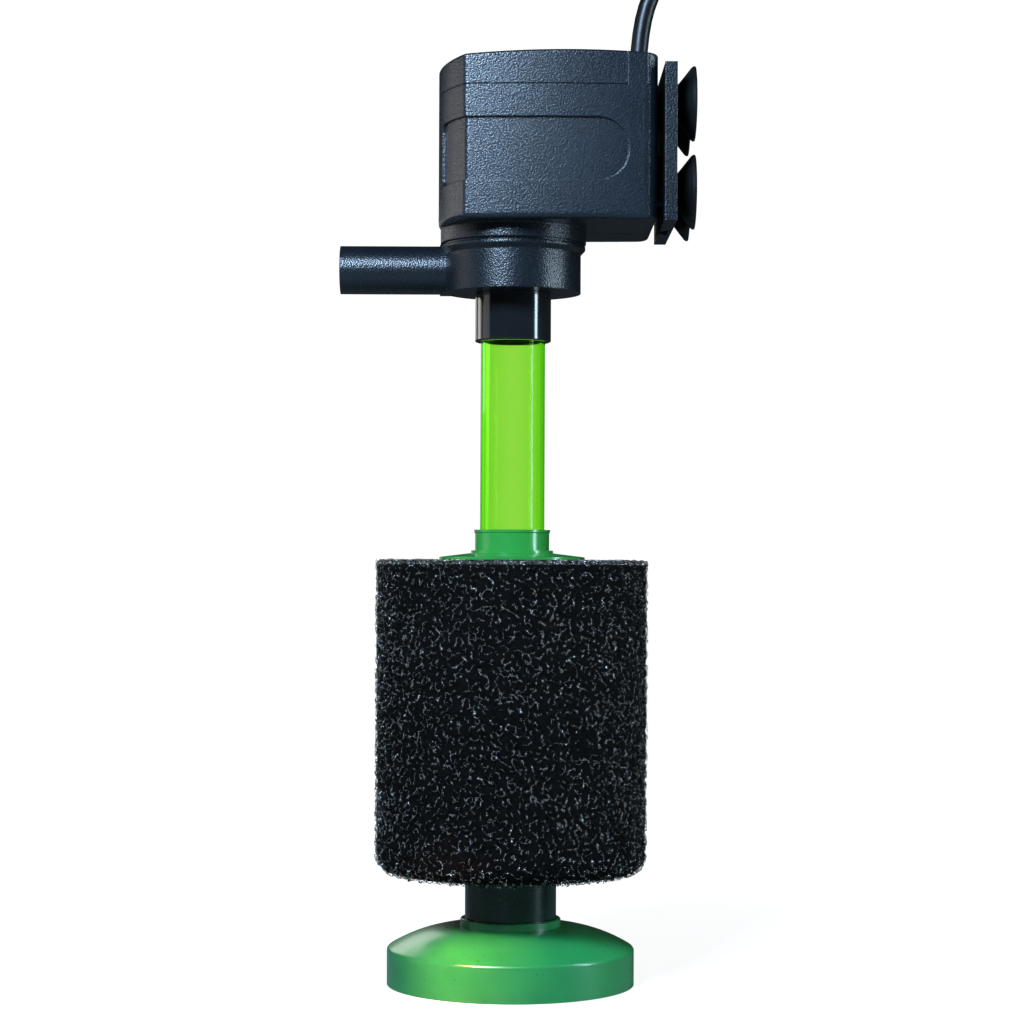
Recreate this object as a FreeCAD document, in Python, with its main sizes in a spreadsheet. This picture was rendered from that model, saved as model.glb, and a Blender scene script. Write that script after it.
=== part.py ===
import FreeCAD, Part
import math
import os

import Sketcher

# Internal power filter. Millimetres, +Z up. The origin is the centre of the base's underside, on the
# axis of the tube. +X points to the suction cups, -X along the outlet nozzle, -Y to the front.

DIMENSIONS = {
    # base
    "base_radius": 41.4, "base_rim_top": 12.0, "base_wall": 2.4, "base_plate_thick": 2.0,
    "socket_radius": 16.8, "socket_top": 22.0, "socket_floor": 14.0, "dome_top": 19.4,
    # core tube, sponge and top flange
    "core_radius": 15.3, "core_wall": 2.0, "slot_width": 3.0, "slot_height": 20.0, "slot_rows": 4.0,
    "sponge_radius": 46.2, "sponge_bottom": 36.3, "sponge_top": 141.8, "sponge_gap": 0.3,
    "sponge_round": 7.0, "flange_radius": 24.4, "flange_bottom": 141.9, "collar_radius": 12.47,
    "collar_top": 151.9,
    # extension tube and inlet sleeve
    "tube_radius": 10.8, "tube_wall": 1.6, "tube_bottom": 138.0, "tube_top": 225.0,
    "sleeve_radius": 12.74, "sleeve_bottom": 214.8, "sleeve_top": 231.0,
    # volute cover and outlet nozzle
    "volute_radius": 22.65, "volute_bottom": 231.1, "volute_top": 246.6, "volute_wall": 2.2,
    "inlet_bore": 7.5, "lug_angle": 12.0, "nozzle_radius": 8.1, "nozzle_bore": 6.1,
    "nozzle_height": 239.35, "nozzle_end": 58.2, "nozzle_offset": 5.0, "nozzle_root": 8.6,
    "root_end": 24.7,
    # pump housing
    "boss_radius": 24.4, "boss_bottom": 246.75, "house_bottom": 252.3, "house_seam": 295.8,
    "left_apex": 25.1, "left_corner": 16.0, "left_arc": 54.0, "half_depth": 30.0,
    "corner_round": 2.0,
    "side_arc": 322.0, "right_face": 46.8, "right_round": 5.0, "house_wall": 2.4,
    "well_radius": 9.4, "well_top": 287.0, "well_wall": 1.8,
    "panel_bottom": 264.8, "panel_top": 285.3, "panel_right": 37.4, "panel_end": 13.0,
    "panel_depth": 0.95, "column_left": 36.8, "column_right": 43.2, "column_back": 23.2,
    # top cover
    "crown_left": 304.2, "crown_peak": 307.1, "crown_peak_at": 20.0, "crown_right": 305.9,
    "seam_gap": 0.15,
    # motor
    "shaft_radius": 1.5, "bush_radius": 2.46, "magnet_radius": 8.4, "magnet_bottom": 252.5, "magnet_top": 283.0,
    "impeller_radius": 15.5, "arm_half_gap": 9.5, "arm_width": 8.0, "stator_bottom": 263.0,
    "stator_top": 276.0, "bobbin_start": 15.5, "bobbin_end": 32.0, "winding_thick": 3.6,
    "potting_bottom": 281.3, "potting_top": 290.0,
    # bracket and suction cups
    "plate_left": 48.9, "plate_thick": 4.0, "plate_half": 31.0, "plate_bottom": 251.7,
    "plate_top": 303.2, "rail_bottom": 261.0, "rail_top": 277.0, "cup_radius": 12.25,
    "cup_rim_at": 59.6, "cup_side": 15.0, "cup_low": 263.2, "cup_high": 292.3,
    # power cord
    "cord_radius": 2.85, "cord_at_x": 40.5, "cord_at_y": -20.0, "cord_start": 297.0,
    "coil_at_x": 211.0, "coil_at_y": 8.0, "coil_mean": 28.5, "floor_gap": 0.1,
    "coil_stack": 16.3, "tie_thick": 0.8, "tie_half_width": 2.5,
    # plug
    "plug_half_width": 17.6, "plug_height": 13.7, "plug_length": 25.0, "plug_shoulder": 9.0,
    "plug_neck": 6.8, "plug_offset": 23.5, "tail_length": 9.0, "pin_length": 19.0,
    "pin_radius": 2.0, "pin_side": 9.5, "pin_root": 5.0,
}

doc = FreeCAD.newDocument("power_filter")
sheet = doc.addObject("Spreadsheet::Sheet", "Dims")
for row, (alias, number) in enumerate(DIMENSIONS.items(), start=1):
    sheet.set(f"A{row}", alias)
    sheet.set(f"B{row}", str(number))
    sheet.setAlias(f"B{row}", alias)
doc.recompute()


class Size:
    """A number together with the sheet expression that gives it."""

    def __init__(self, value, text=None):
        self.value = float(value)
        self.text = text if text else repr(float(value))

    def join(self, other, sign, value):
        return Size(value, f"({self.text} {sign} {other.text})")

    def __add__(self, other):
        other = as_size(other)
        return self.join(other, "+", self.value + other.value)

    def __sub__(self, other):
        other = as_size(other)
        return self.join(other, "-", self.value - other.value)

    def __mul__(self, other):
        other = as_size(other)
        return self.join(other, "*", self.value * other.value)

    def __truediv__(self, other):
        other = as_size(other)
        return self.join(other, "/", self.value / other.value)

    def __neg__(self):
        return Size(-self.value, f"(-1 * {self.text})")

    def __radd__(self, other):
        return as_size(other) + self

    def __rsub__(self, other):
        return as_size(other) - self


def as_size(number):
    return number if isinstance(number, Size) else Size(number)


def dim(alias):
    return Size(DIMENSIONS[alias], f"Dims.{alias}")


def bind(obj, **sizes):
    """Binds properties of an object to sheet expressions."""
    for name, size in sizes.items():
        obj.setExpression(name, as_size(size).text)


def place(obj, x=0, y=0, z=0):
    """Binds an object's position to sheet expressions."""
    for axis, size in (("x", x), ("y", y), ("z", z)):
        obj.setExpression(f"Placement.Base.{axis}", as_size(size).text)


# ---- sketches -------------------------------------------------------------------------------------


class Bend:
    """An arc from the vertex before it to the vertex after it. side is +1 where its centre lies to the
    left of that way, -1 where it lies to the right."""

    def __init__(self, radius, side):
        self.radius = as_size(radius)
        self.side = side


def arc_between(start, end, bend):
    dx = end[0] - start[0]
    dy = end[1] - start[1]
    chord = math.hypot(dx, dy)
    reach = math.sqrt(max(bend.radius.value ** 2 - chord ** 2 / 4, 0.0))
    cx = (start[0] + end[0]) / 2 - bend.side * reach * dy / chord
    cy = (start[1] + end[1]) / 2 + bend.side * reach * dx / chord
    first = math.atan2(start[1] - cy, start[0] - cx)
    last = math.atan2(end[1] - cy, end[0] - cx)
    if bend.side < 0:
        first, last = last, first
    circle = Part.Circle(FreeCAD.Vector(cx, cy, 0), FreeCAD.Vector(0, 0, 1), bend.radius.value)
    return Part.ArcOfCircle(circle, first, last)


def fix_point(sketch, index, end, point):
    """Pins one end of an edge at a point given by two sizes."""
    for kind, size, axis in (("DistanceX", point[0], -2), ("DistanceY", point[1], -1)):
        if abs(size.value) < 1e-9:
            sketch.addConstraint(Sketcher.Constraint("PointOnObject", index, end, axis))
        else:
            number = sketch.addConstraint(Sketcher.Constraint(kind, -1, 1, index, end, size.value))
            sketch.setExpression(f"Constraints[{number}]", size.text)


def draw(body, plane, outline, name="outline", offset=None):
    """A closed outline of points, with a Bend between two of them where the edge is an arc."""
    sketch = body.newObject("Sketcher::SketchObject", f"{body.Name}_{name}")
    support = [f for f in body.Origin.OriginFeatures if f.Role == plane][0]
    sketch.AttachmentSupport = [(support, "")]
    sketch.MapMode = "FlatFace"
    if offset is not None:
        sketch.setExpression("AttachmentOffset.Base.z", as_size(offset).text)
    points = [tuple(as_size(v) for v in p) for p in outline if not isinstance(p, Bend)]
    bends = {}
    count = 0
    for item in outline:
        if isinstance(item, Bend):
            bends[count - 1] = item
        else:
            count += 1
    ends = []
    for i, start in enumerate(points):
        finish = points[(i + 1) % count]
        first = (start[0].value, start[1].value)
        last = (finish[0].value, finish[1].value)
        if i in bends:
            sketch.addGeometry(arc_between(first, last, bends[i]), False)
            ends.append((1, 2) if bends[i].side > 0 else (2, 1))
            number = sketch.addConstraint(Sketcher.Constraint("Radius", i, bends[i].radius.value))
            sketch.setExpression(f"Constraints[{number}]", bends[i].radius.text)
        else:
            line = Part.LineSegment(FreeCAD.Vector(*first, 0), FreeCAD.Vector(*last, 0))
            sketch.addGeometry(line, False)
            ends.append((1, 2))
    for i, start in enumerate(points):
        after = (i + 1) % count
        sketch.addConstraint(Sketcher.Constraint("Coincident", i, ends[i][1], after, ends[after][0]))
        fix_point(sketch, i, ends[i][0], start)
    return sketch


def new_body(name):
    return doc.addObject("PartDesign::Body", name)


def revolved(name, outline):
    """A body turned about Z from an outline of (radius, height)."""
    body = new_body(name)
    sketch = draw(body, "XZ_Plane", outline)
    turn = body.newObject("PartDesign::Revolution", f"{name}_turn")
    turn.Profile = sketch
    turn.ReferenceAxis = (sketch, ["V_Axis"])
    turn.Angle = 360
    sketch.Visibility = False
    doc.recompute()
    return body


def padded(body, sketch, length, name="pad"):
    pad = body.newObject("PartDesign::Pad", f"{body.Name}_{name}")
    pad.Profile = sketch
    bind(pad, Length=length)
    doc.recompute()
    return pad


def fillet(body, radius, wanted, name="round"):
    """Rounds the edges of a body for which wanted(edge) is true."""
    doc.recompute()
    solid = body.Tip
    names = [f"Edge{i}" for i, e in enumerate(solid.Shape.Edges, start=1) if wanted(e)]
    feature = body.newObject("PartDesign::Fillet", f"{body.Name}_{name}")
    feature.Base = (solid, names)
    bind(feature, Radius=radius)
    doc.recompute()
    return feature


def ring_edge(radius, height):
    """Tests for a circular edge about Z of one radius at one height."""
    def test(edge):
        box = edge.BoundBox
        flat = box.ZLength < 0.01 and abs(box.ZMin - height.value) < 0.01
        return flat and abs(box.XMax - radius.value) < 0.02
    return test


# ---- primitives and booleans ------------------------------------------------------------------------


def cylinder(name, radius, height, x=0, y=0, z=0, axis="Z"):
    """A cylinder from (x, y, z) along an axis: Z, X, Y or their negatives."""
    turns = {"Z": ((0, 0, 1), 0), "X": ((0, 1, 0), 90), "Y": ((1, 0, 0), -90), "-X": ((0, 1, 0), -90)}
    obj = doc.addObject("Part::Cylinder", name)
    vector, angle = turns[axis]
    obj.Placement = FreeCAD.Placement(
        FreeCAD.Vector(), FreeCAD.Rotation(FreeCAD.Vector(*vector), angle))
    bind(obj, Radius=radius, Height=height)
    place(obj, x, y, z)
    return obj


def box(name, low, high):
    """A box between two corners."""
    low = [as_size(v) for v in low]
    high = [as_size(v) for v in high]
    obj = doc.addObject("Part::Box", name)
    bind(obj, Length=high[0] - low[0], Width=high[1] - low[1], Height=high[2] - low[2])
    place(obj, *low)
    return obj


def fuse(name, *pieces):
    obj = doc.addObject("Part::MultiFuse", name)
    obj.Shapes = list(pieces)
    obj.Refine = True
    return obj


def common(name, base, tool):
    obj = doc.addObject("Part::Common", name)
    obj.Base = base
    obj.Tool = tool
    return obj


def cut(name, base, *tools):
    """base without the tools."""
    tool = tools[0] if len(tools) == 1 else fuse(f"{name}_tools", *tools)
    obj = doc.addObject("Part::Cut", name)
    obj.Base = base
    obj.Tool = tool
    return obj


NODES = {}


def node(label, obj):
    """Gives a finished sub-part its label and puts it on the list of what is written."""
    obj.Label = label
    NODES[label] = obj
    return obj


# ---- base --------------------------------------------------------------------------------------------


def base_disc():
    outer = dim("base_radius")
    wall = dim("base_wall")
    floor = dim("socket_floor")
    bore = dim("core_radius") + 0.04
    body = revolved("base_disc_body", [
        (0, floor), (bore, floor), (bore, dim("socket_top")),
        (dim("socket_radius"), dim("socket_top")), (dim("socket_radius"), dim("dome_top")),
        Bend(48.0, -1), (outer, dim("base_rim_top")), (outer, 0), (outer - wall, 0),
        (outer - wall, dim("base_rim_top") - 1.6), Bend(46.0, 1),
        (dim("socket_radius") + 0.9, dim("dome_top") - wall),
        (dim("socket_radius") + 0.9, floor - 2), (0, floor - 2),
    ])
    fillet(body, 1.4, ring_edge(outer, dim("base_rim_top")))
    fillet(body, 0.5, ring_edge(dim("socket_radius"), dim("socket_top")), "lip")
    return node("base_disc", body)


def ballast_ring():
    wall = dim("base_wall")
    low = dim("base_plate_thick")
    outer = dim("base_radius") - wall - 0.4
    inner = dim("socket_radius") + 1.4
    return node("ballast_ring", revolved("ballast_ring_body", [
        (inner, low), (outer, low), (outer, 8.6), (36.0, 10.6), (27.0, 13.6), (inner, 14.6),
    ]))


def base_plate():
    radius = dim("base_radius") - dim("base_wall") - 0.05
    plate = cylinder("base_plate_solid", radius, dim("base_plate_thick"))
    return node("base_plate", plate)


# ---- core tube, sponge, flange -------------------------------------------------------------------------


def core_tube():
    outer = dim("core_radius")
    inner = outer - dim("core_wall")
    body = revolved("core_tube_body", [
        (inner, dim("socket_floor")), (outer, dim("socket_floor")),
        (outer, dim("flange_bottom")), (inner, dim("flange_bottom")),
    ])
    half = dim("slot_width") / 2
    pitch = dim("slot_height") + 4
    start = dim("sponge_bottom") + 5
    for i in range(int(DIMENSIONS["slot_rows"])):
        low = start + pitch * i
        high = low + dim("slot_height")
        sketch = draw(body, "XZ_Plane", [
            (-half, low), (half, low), (half, high), (-half, high)], f"slot{i}")
        pocket = body.newObject("PartDesign::Pocket", f"slot_cut{i}")
        pocket.Profile = sketch
        bind(pocket, Length=outer + 1)
        doc.recompute()
        ring = body.newObject("PartDesign::PolarPattern", f"slot_ring{i}")
        ring.Originals = [pocket]
        ring.Axis = ([f for f in body.Origin.OriginFeatures if f.Role == "Z_Axis"][0], [""])
        ring.Angle = 360
        ring.Occurrences = 10
        body.Tip = ring
        doc.recompute()
    return node("core_tube", body)


def sponge():
    bore = dim("core_radius") + dim("sponge_gap")
    outer = dim("sponge_radius")
    corner = dim("sponge_round")
    body = revolved("sponge_body", [
        (bore, dim("sponge_bottom")), (outer - corner, dim("sponge_bottom")), Bend(corner, 1),
        (outer, dim("sponge_bottom") + corner), (outer, dim("sponge_top") - 1.2), Bend(1.2, 1),
        (outer - 1.2, dim("sponge_top")), (bore, dim("sponge_top")),
    ])
    return node("sponge", body)


def top_flange():
    spigot = dim("core_radius") - dim("core_wall") - 0.04
    under = dim("flange_bottom")
    collar = dim("collar_radius")
    top = dim("collar_top")
    body = revolved("top_flange_body", [
        (9.0, 134.0), (spigot, 134.0), (spigot, under), (dim("flange_radius"), under),
        (dim("flange_radius"), under + 0.9), (collar + 1.3, under + 2.2),
        (collar + 1.3, under + 3.1), (collar, under + 3.1), (collar, top - 1.1),
        (collar + 0.3, top - 0.8), (collar + 0.3, top), (dim("tube_radius") + 0.04, top),
        (dim("tube_radius") + 0.04, dim("tube_bottom")), (9.0, dim("tube_bottom")),
    ])
    return node("top_flange", body)


def extension_tube():
    outer = dim("tube_radius")
    inner = outer - dim("tube_wall")
    return node("extension_tube", revolved("extension_tube_body", [
        (inner, dim("tube_bottom")), (outer, dim("tube_bottom")),
        (outer, dim("tube_top")), (inner, dim("tube_top")),
    ]))


def inlet_sleeve():
    """Outside over the tube, with an inner spigot in the tube and a socket for the volute cover."""
    outer = dim("sleeve_radius")
    low = dim("sleeve_bottom")
    high = dim("sleeve_top")
    stop = dim("tube_top")
    tube = dim("tube_radius") + 0.04
    spigot = dim("tube_radius") - dim("tube_wall") - 0.04
    socket = dim("inlet_bore") + 2.0
    body = revolved("inlet_sleeve_body", [
        (tube, low), (outer, low), (outer, high), (socket, high), (socket, stop + 0.6),
        (spigot - 1.5, stop + 0.6), (spigot - 1.5, low + 1), (spigot, low + 1), (spigot, stop),
        (tube, stop),
    ])
    fillet(body, 0.6, ring_edge(outer, low), "lip")
    return node("inlet_sleeve", body)


# ---- volute cover ------------------------------------------------------------------------------------


def volute_cover():
    low = dim("volute_bottom")
    high = dim("volute_top")
    outer = dim("volute_radius")
    inner = outer - dim("volute_wall")
    inlet = dim("inlet_bore")
    cup = revolved("volute_cup", [
        (inlet, low - 5), (inlet + 1.95, low - 5), (inlet + 1.95, low), (outer, low),
        (outer, high - 2.6), (outer + 1.5, high - 1.0), (outer + 1.5, high), (inner + 1.45, high),
        (inner + 1.45, high + 3.2), (inner, high + 3.2), (inner, low + 2.2), (inlet, low + 2.2),
    ])
    lugs = []
    for name, turn in (("front", 270), ("back", 90)):
        lug = doc.addObject("Part::Cylinder", f"lug_{name}_sector")
        bind(lug, Radius=inner + 2.4, Height=1.3, Angle=dim("lug_angle"))
        lug.Placement = FreeCAD.Placement(
            FreeCAD.Vector(), FreeCAD.Rotation(turn - DIMENSIONS["lug_angle"] / 2, 0, 0))
        place(lug, 0, 0, high + 1.5)
        lugs.append(cut(f"lug_{name}", lug, cylinder(f"lug_{name}_core", inner + 0.8, 30, z=225)))
    offset = dim("nozzle_offset")
    height = dim("nozzle_height")
    reach = dim("nozzle_end")
    pipe = cylinder("nozzle_pipe", dim("nozzle_radius"), reach - 10, -reach, offset, height, "X")
    root = cylinder("nozzle_root", dim("nozzle_root"), dim("root_end") - 10, -dim("root_end"), offset,
                    height, "X")
    pipe = cut("nozzle_trim", fuse("nozzle_outside", pipe, root),
               cylinder("chamber_room", inner + 0.4, 40, z=225.0),
               cylinder("boss_room", dim("boss_radius") + 0.5, 20, z=high))
    shell = fuse("volute_shell", cup, pipe, *lugs)
    bore = cylinder("nozzle_hole", dim("nozzle_bore"), reach - 10, -reach - 1, offset, height, "X")
    room = cylinder("bore_top_room", outer + 3, 20, z=high - 0.6)
    bore = cut("nozzle_hole_trim", bore, room)
    spokes = [box("spoke_x", (-inlet - 0.5, -0.8, low - 4.5), (inlet + 0.5, 0.8, low - 2.5)),
              box("spoke_y", (-0.8, -inlet - 0.5, low - 4.5), (0.8, inlet + 0.5, low - 2.5)),
              cylinder("spoke_hub", 3.2, 5.0, z=low - 4.5)]
    shell = cut("volute_bored", shell, bore)
    whole = fuse("volute_whole", shell, *spokes)
    seat = cylinder("lower_bush_seat", 2.5, 3.6, z=low - 3.1)
    return node("volute_cover", cut("volute_cover_solid", whole, seat))


def lower_bush():
    """The rubber bush in the cover's hub, with a blind hole for the shaft."""
    low = dim("volute_bottom") - 3.05
    solid = cylinder("lower_bush_solid", dim("bush_radius"), 3.5, z=low)
    hole = cylinder("lower_bush_hole", dim("shaft_radius") + 0.05, 3.0, z=low + 1.0)
    return node("lower_bush", cut("lower_bush_cut", solid, hole))


def upper_bush():
    """The rubber bush at the top of the rotor well."""
    low = dim("well_top") - 3.05
    solid = cylinder("upper_bush_solid", dim("bush_radius"), 3.0, z=low)
    hole = cylinder("upper_bush_hole", dim("shaft_radius") + 0.02, 2.0, z=low - 0.1)
    return node("upper_bush", cut("upper_bush_cut", solid, hole))


# ---- pump housing ------------------------------------------------------------------------------------


def plan(inset=0):
    """The housing seen from above: an arc for the left end, bowed sides, a flat right end."""
    inset = as_size(inset)
    left = dim("left_corner") - inset * 0.57
    side = dim("half_depth") - inset * 0.95
    right = dim("right_face") - inset
    turn = dim("right_round") - inset * 0.6
    end = Bend(dim("left_arc") - inset, 1)
    long_side = Bend(dim("side_arc"), 1)
    corner = Bend(turn, 1)
    return [
        (-left, side), end, (-(dim("left_apex") - inset), 0), end, (-left, -side), long_side,
        (right - turn, -side), corner, (right, -side + turn), (right, side - turn), corner,
        (right - turn, side), long_side,
    ]


def prism(name, low, high, inset=0):
    """The housing's plan drawn out from one height to another."""
    body = new_body(name)
    sketch = draw(body, "XY_Plane", plan(inset), offset=low)
    padded(body, sketch, as_size(high) - low)
    corner = -DIMENSIONS["left_corner"]
    fillet(body, dim("corner_round"),
           lambda e: e.BoundBox.ZLength > 1 and corner - 0.1 < e.BoundBox.XMax < corner + 2,
           "corners")
    return body


def panel_tool(name, sign):
    """What the side panel takes away: a layer of the panel's depth that wraps the left corner."""
    low = dim("panel_bottom")
    high = dim("panel_top")
    end_round = (high - low) / 2
    right = dim("panel_right")
    front = new_body(f"{name}_front")
    sketch = draw(front, "XZ_Plane", [
        (-30, low), (right - end_round, low), Bend(end_round, 1), (right, low + end_round),
        Bend(end_round, 1), (right - end_round, high), (-30, high)])
    pad = padded(front, sketch, 36)
    pad.Reversed = sign > 0
    left = new_body(f"{name}_left")
    end = dim("panel_end") * sign
    corner = 2.5
    if sign < 0:
        outline = [(end - corner, low), Bend(corner, 1), (end, low + corner), (end, high - corner),
                   Bend(corner, 1), (end - corner, high), (-40, high), (-40, low)]
    else:
        outline = [(40, low), (40, high), (end + corner, high), Bend(corner, 1),
                   (end, high - corner), (end, low + corner), Bend(corner, 1), (end + corner, low)]
    sketch = draw(left, "YZ_Plane", outline)
    pad = padded(left, sketch, 120)
    pad.Midplane = True
    doc.recompute()
    near, far = (0, 40) if sign > 0 else (-40, 0)
    half = box(f"{name}_half", (-40, near, low - 1), (60, far, high + 1))
    shape = common(f"{name}_outline", common(f"{name}_wrap", front, left), half)
    core = prism(f"{name}_core", low - 2, high + 2, dim("panel_depth"))
    return cut(name, shape, core)


def cable_column():
    """The column that closes the top cover's notch in front of the cord."""
    left = dim("column_left")
    right = dim("column_right")
    low = dim("potting_top") + 0.1
    block = box("column_block", (left, -35, low), (right, -dim("column_back"), 312))
    return common("column_trim", block, crowned("column_crown", low - 1, 0))


def crowned(name, low, inset):
    """The housing's plan drawn up to the crowned top."""
    inset = as_size(inset)
    solid = prism(f"{name}_prism", low, 315.0, inset)
    crown = new_body(f"{name}_profile")
    sketch = draw(crown, "XZ_Plane", [
        (-40, 250), (60, 250), (60, dim("crown_right") - inset - 0.65),
        Bend(440.0, 1), (dim("crown_peak_at") - 5, dim("crown_peak") - inset),
        Bend(440.0, 1), (-40, dim("crown_left") - inset - 1.1)])
    pad = padded(crown, sketch, 90)
    pad.Midplane = True
    blank = common(f"{name}_blank", solid, crown)
    doc.recompute()
    rounded = doc.addObject("Part::Fillet", name)
    rounded.Base = blank
    rim = [i for i, e in enumerate(blank.Shape.Edges, start=1) if on_rim(e)]
    rounded.Edges = [(i, 1.0, 1.0) for i in rim]
    return rounded


def on_rim(edge):
    """Tests for an edge between the crown and the housing's sides."""
    middle = edge.valueAt((edge.FirstParameter + edge.LastParameter) / 2)
    box = edge.BoundBox
    across = box.YMax > 5 and box.YMin < -5
    return box.ZMin > 300 and not (across and -22 < middle.x < 44)


def pump_housing():
    low = dim("house_bottom")
    seam = dim("house_seam")
    wall = dim("house_wall")
    inner = dim("volute_radius") - dim("volute_wall")
    outside = prism("housing_outside", low, seam)
    fillet(outside, 1.8, lambda e: e.BoundBox.ZMax < low.value + 0.01)
    cavity = prism("housing_cavity", low + wall, seam + 1, wall)
    well = cylinder("well_tube", dim("well_radius") + dim("well_wall"),
                    dim("well_top") + 2 - low, z=low)
    boss = revolved("boss_ring", [
        (inner + 1.5, dim("boss_bottom")), (dim("boss_radius") - 1.0, dim("boss_bottom")),
        (dim("boss_radius") - 1.0, dim("boss_bottom") + 0.8),
        (dim("boss_radius"), dim("boss_bottom") + 0.8), (dim("boss_radius"), low + 0.5),
        (dim("well_radius") - 0.5, low + 0.5), (dim("well_radius") - 0.5, low - 0.6),
        (inner + 1.5, low - 0.6)])
    hollow = cut("housing_hollow", outside, cavity)
    rail_stem = box("rail_stem", (dim("right_face") - 1, -4, dim("rail_bottom")),
                    (dim("plate_left") + 1.6, 4, dim("rail_top")))
    rail_head = box("rail_head", (dim("plate_left") + 1.6, -6, dim("rail_bottom")),
                    (dim("plate_left") + 2.8, 6, dim("rail_top")))
    body = fuse("housing_body", hollow, well, boss, cable_column(), rail_stem, rail_head)
    magnet_room = cylinder("well_bore", dim("well_radius"), dim("well_top") - low + 3, z=low - 3)
    seat = cylinder("upper_bush_seat", 2.5, 4.0, z=dim("well_top") - 3.05)
    track = cut("bayonet_track", cylinder("track_disc", inner + 2.6, 1.7, z=dim("volute_top") + 1.3),
                cylinder("track_core", inner, 40, z=230))
    notches = []
    for name, turn in (("front", 270), ("back", 90)):
        notch = doc.addObject("Part::Cylinder", f"notch_{name}")
        bind(notch, Radius=inner + 2.6, Height=2.6, Angle=dim("lug_angle") + 4)
        notch.Placement = FreeCAD.Placement(
            FreeCAD.Vector(), FreeCAD.Rotation(turn + 25 - DIMENSIONS["lug_angle"] / 2 - 2, 0, 0))
        place(notch, 0, 0, dim("boss_bottom") - 0.5)
        notches.append(notch)
    slot = box("under_slot", (34.6, 5.0, low - 1), (40.4, 6.6, low + 1.3))
    line = box("under_line", (24.5, 5.6, low - 1), (47.5, 6.0, low + 0.3))
    panels = [panel_tool("panel_front", -1), panel_tool("panel_back", 1)]
    body = cut("housing_cut", body, magnet_room, track, *notches, slot, line, *panels)
    collar = cylinder("bush_collar", 4.2, 4.0, z=dim("well_top") - 3.05)
    body = fuse("housing_collared", body, collar)
    return node("pump_housing", cut("pump_housing_solid", body, seat))


def top_cover():
    seam = dim("house_seam") + dim("seam_gap")
    shell = crowned("cover_outside", seam, 0)
    inside = crowned("cover_inside", seam - 1, dim("house_wall"))
    half = (dim("column_right") - dim("column_left")) / 2 + 0.15
    middle = (dim("column_right") + dim("column_left")) / 2
    notch = box("cover_notch", (middle - half, -40, seam - 1), (middle + half, dim("cord_at_y"), 315))
    round_end = cylinder("cover_notch_end", half, 20, middle, dim("cord_at_y"), seam - 1)
    cover = cut("cover_cut", shell, inside, notch, round_end)
    return node("top_cover", cover)


def cable_gland():
    """The grommet that the cord leaves the housing through, between the column and the cover."""
    x = dim("cord_at_x")
    y = dim("cord_at_y")
    low = dim("potting_top") + 0.1
    neck = cylinder("gland_neck", 3.15, dim("crown_left") - low, x, y, low)
    hole = cylinder("gland_hole", dim("cord_radius") + 0.02, 12, x, y, dim("cord_start"))
    return node("cable_gland", cut("cable_gland_solid", neck, hole))


# ---- motor -------------------------------------------------------------------------------------------


def stator_core():
    """A U of laminations: two arms with pole arcs about the rotor well, and a yoke."""
    low = dim("stator_bottom")
    high = dim("stator_top")
    gap = dim("arm_half_gap")
    width = dim("arm_width")
    arms = []
    for name, sign in (("front", -1), ("back", 1)):
        near = gap * sign
        far = (gap + width) * sign
        y_low, y_high = (far, near) if sign < 0 else (near, far)
        arms.append(box(f"arm_{name}", (-9, y_low, low), (41, y_high, high)))
    yoke = box("yoke", (33.0, -gap - width, low), (41.0, gap + width, high))
    poles = [box("pole_front", (-9, -gap - 2, low), (9.5, -4.0, high)),
             box("pole_back", (-9, 4.0, low), (9.5, gap + 2, high))]
    room = cylinder("pole_bore", dim("well_radius") + dim("well_wall") + 0.05, 40, z=low - 5)
    return node("stator_core", cut("stator_solid", fuse("stator_blank", *arms, yoke, *poles), room))


def coil_former(name, sign):
    """One bobbin: a square tube round the arm, with a flange at each end."""
    low = dim("stator_bottom")
    high = dim("stator_top")
    start = dim("bobbin_start")
    end = dim("bobbin_end")
    middle = (dim("arm_half_gap") + dim("arm_width") / 2) * sign
    half = dim("arm_width") / 2
    room = dim("winding_thick") + 1.2

    def block(piece, x_low, x_high, grow):
        return box(f"{name}_{piece}", (x_low, middle - half - grow, low - grow),
                   (x_high, middle + half + grow, high + grow))

    tube = block("tube", start, end, 1.1)
    first = block("first_flange", start, start + 1.2, room + 0.2)
    last = block("last_flange", end - 1.2, end, room + 0.2)
    hole = block("hole", start - 1, end + 1, 0.05)
    blank = fuse(f"{name}_blank", tube, first, last)
    node(f"bobbin_{name}", cut(f"bobbin_{name}_solid", blank, hole))
    outer = block("winding_outer", start + 1.25, end - 1.25, room)
    inner = block("winding_inner", start, end, 1.15)
    node(f"winding_{name}", cut(f"winding_{name}_solid", outer, inner))


def potting():
    """Resin that seals the windings, over the motor and round the well's top."""
    block = prism("potting_block", dim("potting_bottom"), dim("potting_top"), dim("house_wall") + 0.05)
    well = cylinder("potting_well", dim("well_radius") + dim("well_wall") + 0.05, 40, z=260)
    collar = cylinder("potting_collar", 4.25, 40, z=260)
    return node("potting", cut("potting_solid", block, well, collar))


def volute_seal():
    """The seal ring between the volute cover's collar and the chamber's ceiling."""
    inner = dim("volute_radius") - dim("volute_wall")
    ring = doc.addObject("Part::Torus", "volute_seal_ring")
    bind(ring, Radius1=inner + 0.6, Radius2=0.9)
    place(ring, 0, 0, dim("house_bottom") - 0.6 - 0.92)
    return node("volute_seal", ring)


def shaft():
    low = dim("volute_bottom") - 2.0
    top = dim("well_top") - 1.2
    return node("shaft", cylinder("shaft_solid", dim("shaft_radius"), top - low, z=low))


def rotor_magnet():
    low = dim("magnet_bottom")
    solid = cylinder("magnet_solid", dim("magnet_radius"), dim("magnet_top") - low, z=low)
    hole = cylinder("magnet_hole", dim("shaft_radius") + 0.06, 60, z=240)
    return node("rotor_magnet", cut("rotor_magnet_solid", solid, hole))


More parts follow.
